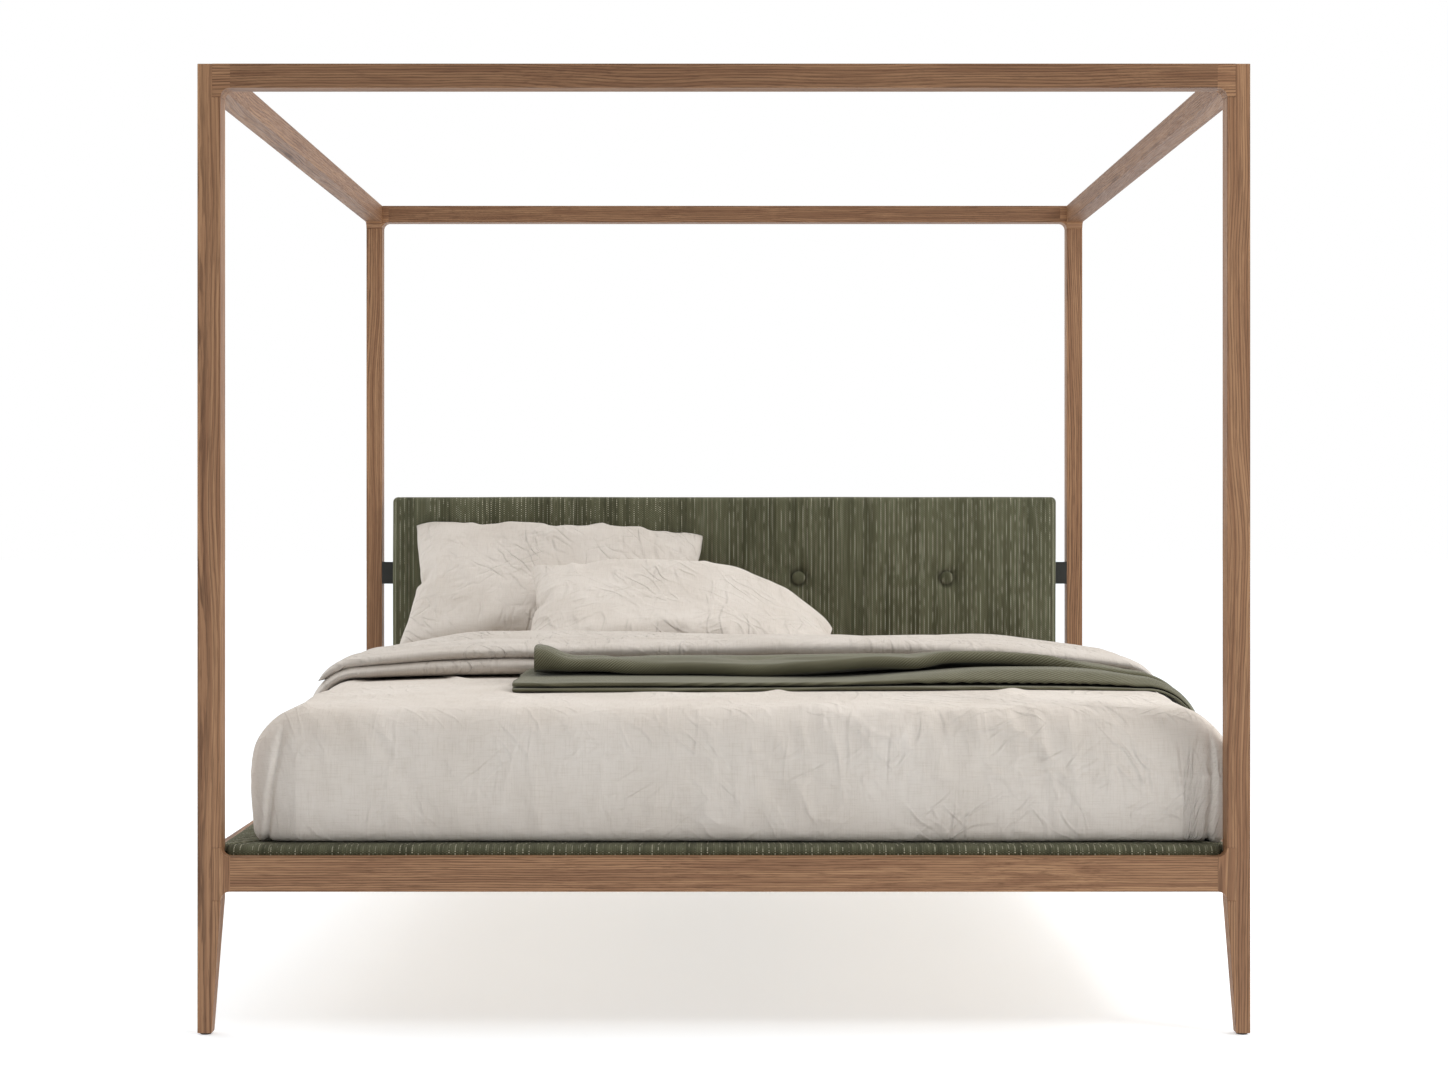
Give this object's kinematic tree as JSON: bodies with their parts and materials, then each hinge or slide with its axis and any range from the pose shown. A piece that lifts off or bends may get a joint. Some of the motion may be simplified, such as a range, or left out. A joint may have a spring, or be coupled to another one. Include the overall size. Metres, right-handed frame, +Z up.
{
  "type": "four poster canopy bed",
  "caption": "Four poster bed: slim tapered timber posts, open square canopy, buttoned headboard between the rear posts, upholstered slatted base, mattress, linen bedding and throw.",
  "frame": {"origin": "on the floor, at the centre of the bed", "axes": "+X to the right seen from the foot end, +Y from the foot to the headboard, +Z up"},
  "size_m": [2.027, 2.195, 1.845],
  "materials": {
    "oak": "brown-stained open-grain timber, satin oil",
    "beech": "pale beech, satin lacquer",
    "plywood": "raw plywood",
    "green_weave": "slubby olive-green weave with pale flecks",
    "tie_cord": "waxed tufting cord",
    "linen": "washed natural linen, matt",
    "duvet_linen": "washed natural linen, matt",
    "ticking": "white mattress ticking over foam",
    "springs": "pocketed spring unit",
    "olive_twill": "soft olive twill",
    "black_steel": "black powder coat",
    "grey_steel": "grey powder coat",
    "zinc_steel": "zinc plated",
    "black_plastic": "moulded, matt"
  },
  "bodies": {
    "bed": {"post_front_left": "oak", "post_front_right": "oak", "post_rear_left": "oak", "post_rear_right": "oak", "corner_block_front_left": "oak", "corner_block_front_right": "oak", "corner_block_rear_left": "oak", "corner_block_rear_right": "oak", "knee_front_left_foot": "oak", "knee_front_left_side": "oak", "knee_front_right_foot": "oak", "knee_front_right_side": "oak", "knee_rear_left_head": "oak", "knee_rear_left_side": "oak", "knee_rear_right_head": "oak", "knee_rear_right_side": "oak", "canopy_rail_front": "oak", "canopy_rail_rear": "oak", "canopy_rail_left": "oak", "canopy_rail_right": "oak", "bed_rail_foot": "oak", "bed_rail_head": "oak", "bed_rail_left": "oak", "bed_rail_right": "oak", "foot_glides": "black_plastic", "connecting_studs": "zinc_steel", "half_moon_washers": "zinc_steel", "stud_nuts": "zinc_steel", "dowels": "beech", "pocket_covers": "oak", "ledger_foot": "beech", "ledger_head": "beech", "ledger_left": "beech", "ledger_right": "beech", "ledger_screws": "zinc_steel", "border_boards": "plywood", "border_pad_foot": "green_weave", "border_pad_head": "green_weave", "border_pad_left": "green_weave", "border_pad_right": "green_weave", "slat_frame": "grey_steel", "slat_frame_bolts": "zinc_steel", "slats_left": "beech", "slats_right": "beech", "slat_caps": "black_plastic", "headboard_board": "plywood", "headboard_pad": "green_weave", "headboard_back": "green_weave", "headboard_buttons": "green_weave", "button_ties": "tie_cord", "headboard_brackets": "black_steel", "headboard_plates": "black_steel", "headboard_screws": "zinc_steel", "mattress_spring_unit": "springs", "mattress_casing": "ticking", "bedspread": "linen", "duvet": "duvet_linen"},
    "throw": {"throw_blanket": "olive_twill"},
    "rear_pillow": {"pillow_rear": "linen"},
    "front_pillow": {"pillow_front": "linen"}
  },
  "joints": [
    {"name": "throw_lift", "type": "slide", "parent": "bed", "child": "throw", "axis": [0, 0, 1], "range_m": [0, 0.3]},
    {"name": "rear_pillow_lift", "type": "slide", "parent": "bed", "child": "rear_pillow", "axis": [0, 0, 1], "range_m": [0, 0.3]},
    {"name": "front_pillow_lift", "type": "slide", "parent": "rear_pillow", "child": "front_pillow", "axis": [0, 0, 1], "range_m": [0, 0.3]}
  ]
}
